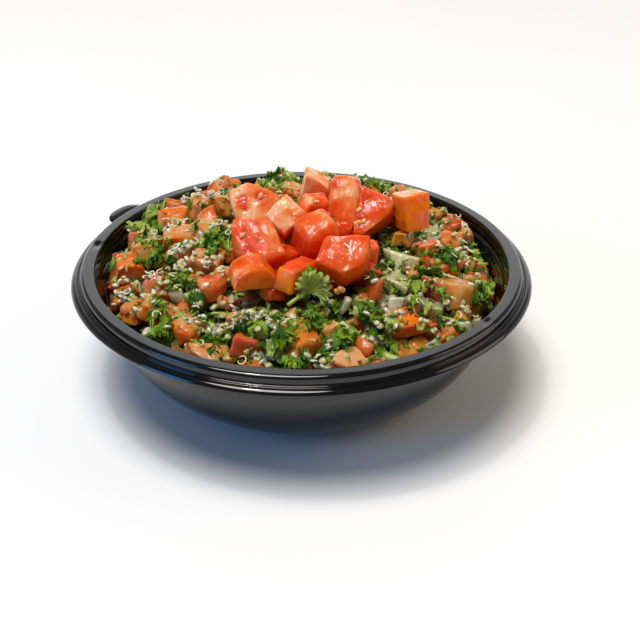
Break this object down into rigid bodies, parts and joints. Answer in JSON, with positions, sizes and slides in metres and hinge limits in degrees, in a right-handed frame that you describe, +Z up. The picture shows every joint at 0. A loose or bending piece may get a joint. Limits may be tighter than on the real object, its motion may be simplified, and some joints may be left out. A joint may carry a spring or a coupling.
{
  "type": "tabbouleh salad in a bowl",
  "caption": "Tabbouleh of diced tomato, parsley, onion and sprouted quinoa heaped in a round black takeaway bowl, topped with a pile of cut tomato and a sprig of parsley.",
  "frame": {"origin": "middle of the bowl's foot, on the table", "axes": "+Z up; -Y towards the front, from where the pile of tomato and its sprig are seen; +X to the right of that view"},
  "size_m": [0.184, 0.184, 0.0816],
  "materials": {
    "black_plastic": "glossy thermoformed black sheet",
    "salad_mix": "moist chopped vegetables and grain",
    "tomato": "wet cut tomato",
    "parsley": "moist curly parsley leaf"
  },
  "bodies": {
    "root": {"bowl": "black_plastic", "salad": "salad_mix", "tomato_front_right": "tomato", "tomato_kite": "tomato", "tomato_far_right": "tomato", "tomato_left": "tomato", "tomato_front_left": "tomato", "tomato_right": "tomato", "tomato_tall": "tomato", "tomato_peak": "tomato", "tomato_rear_left": "tomato", "tomato_centre": "tomato", "tomato_core": "tomato", "tomato_low_slice": "tomato", "tomato_small_right": "tomato", "parsley_sprig": "parsley"}
  },
  "joints": []
}
